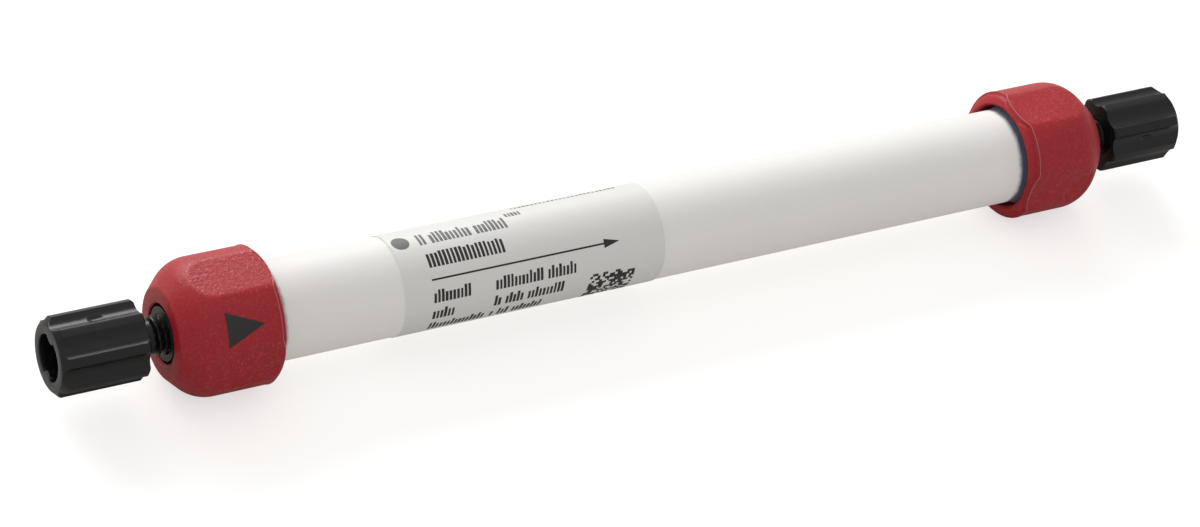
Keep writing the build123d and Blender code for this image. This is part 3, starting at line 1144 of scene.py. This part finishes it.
class COLUMN_OT_label(ColumnOperator):
    """Make the label film and its generic print"""
    bl_idname = "column.label"
    bl_label = "Make label"

    def execute(self, context):
        size = context.scene.column_label
        middle = LABEL_RADIUS - FILM_THICKNESS / 2
        start = size.seam_angle * middle + size.seam / 2 - 2 * math.pi * middle
        end = size.seam_angle * middle - size.seam / 2
        low, high = label_low[0], label_high[0]
        stations = [(low + (high - low) * i / 12, start, end) for i in range(13)]
        mesh = patch_mesh("label_film", stations, middle, FILM_THICKNESS, 180)
        mesh.materials.append(film_finish(size.film))
        finish_piece(mesh, "label_film", COLUMN, ["label"])

        ink = ink_finish("Black print", size.ink)
        pale = ink_finish("Grey print", size.pale_ink)
        tree = print_tree()
        for name, paint, inputs in print_blocks(ink, pale):
            mesh = run_tree(tree, bpy.data.meshes.new("blank"), name, wrap_radius=LABEL_RADIUS,
                            ink=PRINT_THICKNESS, finish=paint, **inputs)
            finish_piece(mesh, name, COLUMN)
        shapes = (("print_flow_arrow", arrow_shape(), ink), ("print_spot", spot_shape(), pale))
        for name, shape, paint in shapes:
            mesh = patch_mesh(name, refined(shape, 0.5 * MM), LABEL_RADIUS, PRINT_THICKNESS)
            mesh.materials.append(paint)
            finish_piece(mesh, name, COLUMN)
        return {"FINISHED"}


class COLUMN_OT_cap_mark(ColumnOperator):
    """Print a plain flow arrow on the inlet cap"""
    bl_idname = "column.cap_mark"
    bl_label = "Print cap mark"

    def execute(self, context):
        radius = context.scene.column_cap.radius
        start = MARK_DEPTH - CAP_FACE
        centre = MARK_ANGLE * radius
        corners = [(start, centre - MARK_HALF_WIDTH, centre + MARK_HALF_WIDTH),
                   (start + MARK_LENGTH, centre - MARK_TIP, centre + MARK_TIP)]
        mesh = patch_mesh("cap_flow_mark", refined(corners, 0.3 * MM), radius, PRINT_THICKNESS, 10)
        mesh.materials.append(ink_finish("Cap print", context.scene.column_label.ink))
        finish_piece(mesh, "cap_flow_mark", COLUMN)
        return {"FINISHED"}


class COLUMN_OT_stage(ColumnOperator):
    """Make the floor, lights and camera"""
    bl_idname = "column.stage"
    bl_label = "Make stage"

    def execute(self, context):
        scene = context.scene
        size = scene.column_stage
        ground = cap_low[2]
        mesh = bpy.data.meshes.new("floor")
        corners = [(x * FLOOR_REACH, y * FLOOR_REACH, ground)
                   for x, y in ((-1, -1), (1, -1), (1, 1), (-1, 1))]
        mesh.from_pydata(corners, [], [(0, 1, 2, 3)])
        mesh.materials.append(floor_finish(size.floor_tone))
        floor = bpy.data.objects.new("floor", mesh)
        scene.collection.objects.link(floor)

        add_lamp("back_light", (-0.05, 0.77, 0.46), (0.95, 0.5), size.key_power)
        add_lamp("top_light", (-0.1, -0.2, 1.1), (1.6, 1.6), size.front_power)
        white_world(scene, size.ambient)

        lens = bpy.data.cameras.new("camera")
        lens.lens = size.lens
        lens.sensor_width = 36.0
        lens.clip_start = 0.01
        camera = bpy.data.objects.new("camera", lens)
        scene.collection.objects.link(camera)
        forward, up = Vector(size.camera_forward), Vector(size.camera_up)
        right = forward.cross(up)
        turn = Matrix((right, up, -forward)).transposed().to_4x4()
        camera.matrix_world = Matrix.Translation(size.camera_place) @ turn
        scene.camera = camera
        scene.view_settings.view_transform = "Standard"
        return {"FINISHED"}


def add_lamp(name, place, size, power):
    """A soft rectangular lamp aimed at the middle of the column."""
    lamp = bpy.data.lights.new(name, "AREA")
    lamp.shape = "RECTANGLE"
    lamp.size, lamp.size_y = size
    lamp.energy = power
    holder = bpy.data.objects.new(name, lamp)
    bpy.context.scene.collection.objects.link(holder)
    holder.location = place
    holder.rotation_euler = (-Vector(place)).to_track_quat("-Z", "Y").to_euler()


def floor_finish(tone):
    """Pale floor that looks white to the camera and through clear parts, and keeps the shadow."""
    material, surface, place = new_finish("White floor")
    dress(surface,
          Base_Color=blend_colours(noise(place, 40.0), shade(tone, 0.99), shade(tone, 1.01)),
          Roughness=0.9,
          Specular_IOR_Level=0.0,
          Emission_Color=(1.0, 1.0, 1.0, 1.0),
          Emission_Strength=seen_ray(place.tree) * 0.62)
    return material


def seen_ray(tree):
    """1 for a ray from the camera or through a clear part, and 0 for the rest."""
    path = outputs_of(tree.nodes.new("ShaderNodeLightPath"))
    return calc("MAXIMUM", path["Is Camera Ray"], path["Is Transmission Ray"])


def white_world(scene, ambient):
    """Plain light all round, and white wherever the camera or a ray through a clear part sees it."""
    world = bpy.data.worlds.new("studio")
    world.use_nodes = True
    tree = world.node_tree
    dress(tree.nodes["Background"].inputs,
          Color=(1.0, 1.0, 1.0, 1.0),
          Strength=seen_ray(tree) * (1.0 - ambient) + ambient)
    scene.world = world


class VIEW3D_PT_column(bpy.types.Panel):
    """Lists the settings and the steps that make the column"""
    bl_idname = "VIEW3D_PT_column"
    bl_label = "Chromatography Column"
    bl_space_type = "VIEW_3D"
    bl_region_type = "UI"
    bl_category = "Column"

    def draw(self, context):
        for name in SETTINGS:
            box = self.layout.box()
            box.label(text=name.replace("column_", "").capitalize())
            settings = getattr(context.scene, name)
            for key in settings.bl_rna.properties.keys():
                if key not in ("rna_type", "name"):
                    box.prop(settings, key)
        for step in STEPS:
            self.layout.operator(step.bl_idname)


SETTINGS = {
    "column_tube": ColumnTubeSettings,
    "column_cap": ColumnCapSettings,
    "column_fitting": ColumnFittingSettings,
    "column_plug": ColumnPlugSettings,
    "column_label": ColumnLabelSettings,
    "column_stage": ColumnStageSettings,
}
STEPS = (COLUMN_OT_tube, COLUMN_OT_caps, COLUMN_OT_fittings, COLUMN_OT_inside, COLUMN_OT_plugs,
         COLUMN_OT_label, COLUMN_OT_cap_mark, COLUMN_OT_stage)


def register():
    """Registers the settings, steps and panel."""
    for kind in (*SETTINGS.values(), *STEPS, VIEW3D_PT_column):
        bpy.utils.register_class(kind)
    for name, kind in SETTINGS.items():
        setattr(bpy.types.Scene, name, PointerProperty(type=kind))


def unregister():
    """Takes the settings, steps and panel away again."""
    for name in SETTINGS:
        delattr(bpy.types.Scene, name)
    for kind in (VIEW3D_PT_column, *reversed(STEPS), *reversed(SETTINGS.values())):
        bpy.utils.unregister_class(kind)


def main():
    """Makes every piece in order."""
    register()
    for step in STEPS:
        group, name = step.bl_idname.split(".")
        getattr(getattr(bpy.ops, group), name)()


if __name__ == "__main__":
    main()
